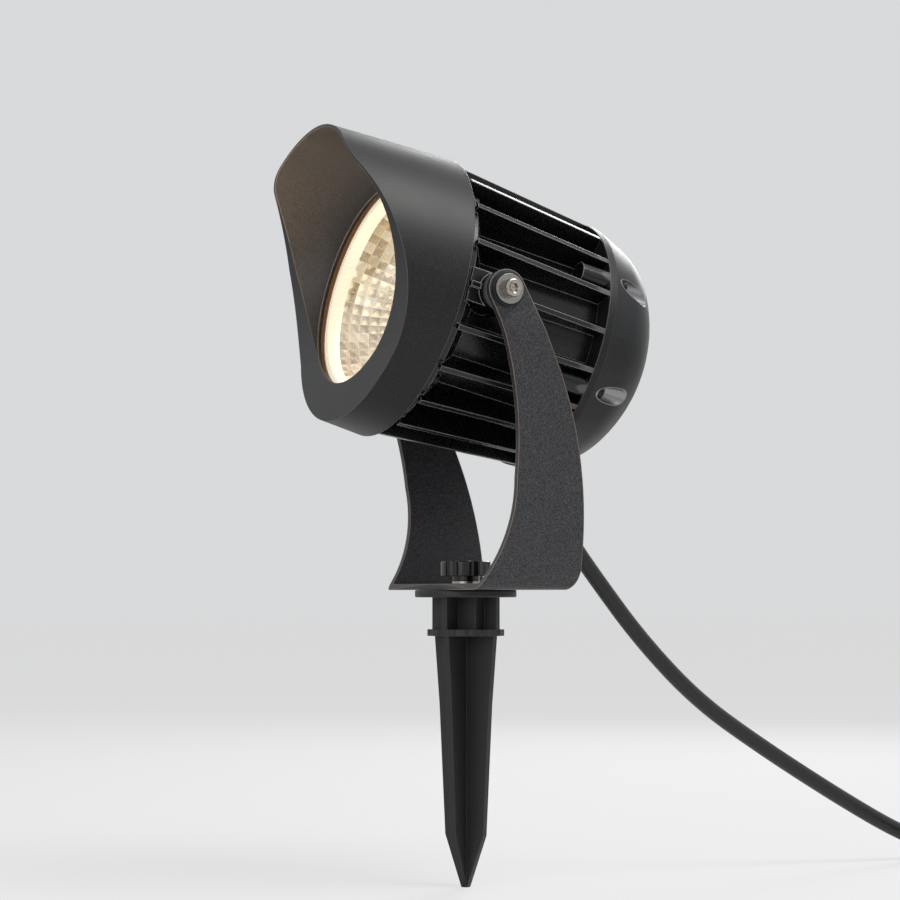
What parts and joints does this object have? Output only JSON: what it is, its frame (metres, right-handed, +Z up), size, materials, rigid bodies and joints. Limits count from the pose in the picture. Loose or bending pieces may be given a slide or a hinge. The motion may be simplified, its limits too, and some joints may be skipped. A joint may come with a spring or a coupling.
{
  "type": "garden spike spotlight",
  "caption": "Garden spike spotlight: finned lamp head with a glare hood on a folded yoke, clamped to a ribbed ground spike, with a rubber cable, coil and plug.",
  "frame": {"origin": "centre of the underside of the spike's collar, at ground level on the spike's axis", "axes": "+Z up along the spike, lamp shines towards -Y, tilt axis along X"},
  "size_m": [0.1888, 0.5735, 0.3645],
  "materials": {
    "spike_plastic": "grained black glass-filled nylon",
    "zinc_steel": "bright zinc plated",
    "bright_steel": "polished stainless steel",
    "knob_plastic": "glossy black moulding",
    "yoke_coat": "grained dark grey powder coat",
    "fin_coat": "cast aluminium, semi-gloss black powder coat",
    "hood_coat": "cast aluminium, fine matte anthracite powder coat",
    "cap_coat": "cast aluminium, smooth satin anthracite powder coat",
    "clear_glass": "clear tempered glass",
    "seal_rubber": "soft black silicone",
    "mirror_metal": "bright faceted reflector",
    "white_plastic": "white heat-resistant moulding",
    "plain_aluminium": "plain aluminium board",
    "phosphor": "yellow phosphor coating",
    "potted_plastic": "potted driver case",
    "gland_metal": "nickel plated brass",
    "black_nylon": "black nylon",
    "cable_rubber": "black rubber with a soft sheen",
    "nickel_brass": "nickel plated contact pins"
  },
  "bodies": {
    "spike": {"ground_spike": "spike_plastic", "clamp_nut": "zinc_steel"},
    "clamp": {"knob_stud": "zinc_steel", "clamp_knob": "knob_plastic"},
    "yoke": {"yoke_bracket": "yoke_coat", "base_washer": "bright_steel", "pivot_black_washers": "black_nylon", "power_cord": "cable_rubber", "cord_coil": "cable_rubber", "plug_lead": "cable_rubber", "plug_body": "cable_rubber", "plug_pins": "nickel_brass"},
    "lamp_head": {"heatsink_body": "fin_coat", "glare_hood": "hood_coat", "front_glass": "clear_glass", "lens_gasket": "seal_rubber", "reflector": "mirror_metal", "led_holder": "white_plastic", "led_board": "plain_aluminium", "led_emitter": "phosphor", "led_driver": "potted_plastic", "rear_cap": "cap_coat", "cap_gasket": "seal_rubber", "cap_screws": "bright_steel", "hood_screws": "bright_steel", "holder_screws": "bright_steel", "gland_body": "gland_metal", "gland_nut": "gland_metal", "gland_seal": "seal_rubber", "pivot_screws": "bright_steel", "pivot_steel_washers": "bright_steel", "tilt_friction_washers": "black_nylon"}
  },
  "joints": [
    {"name": "yoke_swivel", "type": "hinge", "parent": "spike", "child": "yoke", "pos_m": [0, 0, 0.0222], "axis": [0, 0, 1], "range_deg": [-180, 180]},
    {"name": "head_tilt", "type": "hinge", "parent": "yoke", "child": "lamp_head", "pos_m": [0, -0.0164, 0.1595], "axis": [-1, 0, 0], "range_deg": [-60, 60], "deforming": ["power_cord"]},
    {"name": "clamp_turn", "type": "hinge", "parent": "spike", "child": "clamp", "pos_m": [0, 0, 0.0264], "axis": [0, 0, 1], "range_deg": [0, 360]}
  ]
}
